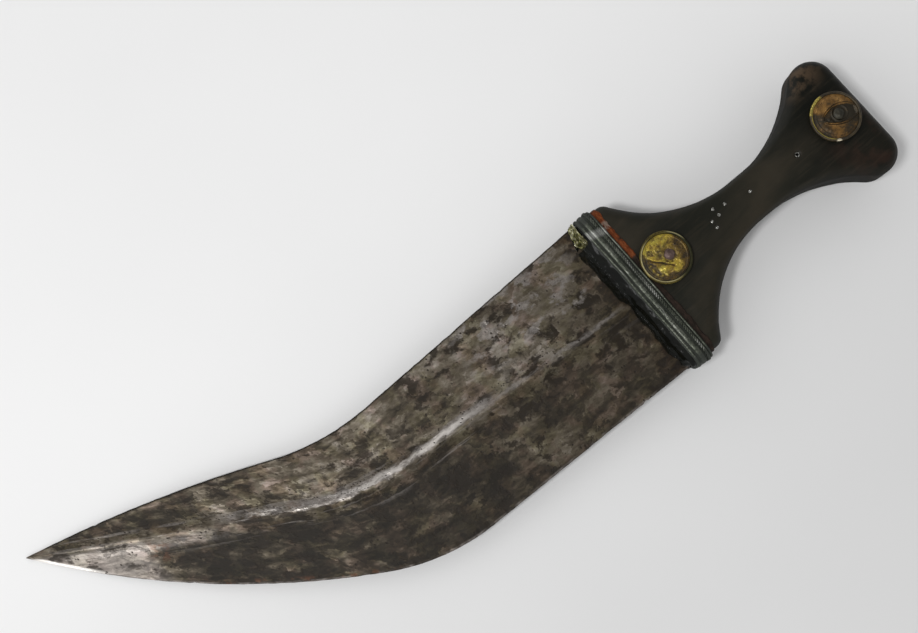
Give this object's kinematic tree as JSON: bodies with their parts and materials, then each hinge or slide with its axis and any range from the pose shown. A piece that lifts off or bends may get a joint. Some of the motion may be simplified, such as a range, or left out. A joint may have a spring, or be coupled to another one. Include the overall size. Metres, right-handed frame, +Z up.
{
  "type": "curved dagger",
  "caption": "Curved double-edged dagger with a raised mid-rib, a waisted dark horn hilt, a wired metal collar set with black resin, and brass bosses; lies on its side.",
  "frame": {"origin": "middle of the bounding box on the surface that the dagger lies on", "axes": "+X along the hilt towards the pommel, +Y towards the side that the blade's point bends to, +Z up out of the front face with the bosses"},
  "size_m": [0.344, 0.1076, 0.0291],
  "materials": {
    "steel_blade": "old forged steel, mottled grey with a brown bloom",
    "horn": "dark polished horn, worn brown at the pommel",
    "pitch": "glossy black resin",
    "white_metal": "tarnished white metal sheet and wire",
    "liner": "dull red leather, dark where worn",
    "brass_foil": "thin greenish brass foil, crumpled",
    "boss_backing": "dark leather pad",
    "lower_brass": "struck yellow brass, dull",
    "upper_brass": "orange brass, dull, bright on its rim",
    "copper": "brown-purple copper alloy",
    "silver_pin": "small bright silver nails"
  },
  "bodies": {
    "root": {"blade": "steel_blade", "hilt": "horn", "pitch_setting": "pitch", "collar_liner": "liner", "collar_band": "white_metal", "collar_wire_1": "white_metal", "collar_wire_2": "white_metal", "collar_wire_3": "white_metal", "collar_wire_4": "white_metal", "brass_foil": "brass_foil", "lower_boss_backing": "boss_backing", "lower_boss_rim": "lower_brass", "lower_boss_disc": "lower_brass", "lower_boss_rivet": "copper", "lower_rivet_burr": "lower_brass", "upper_boss_backing": "boss_backing", "upper_boss_rim": "upper_brass", "upper_boss_disc": "upper_brass", "upper_boss_rivet": "copper", "upper_rivet_burr": "upper_brass", "grip_pins": "silver_pin", "grip_eyelet": "silver_pin"}
  },
  "joints": []
}
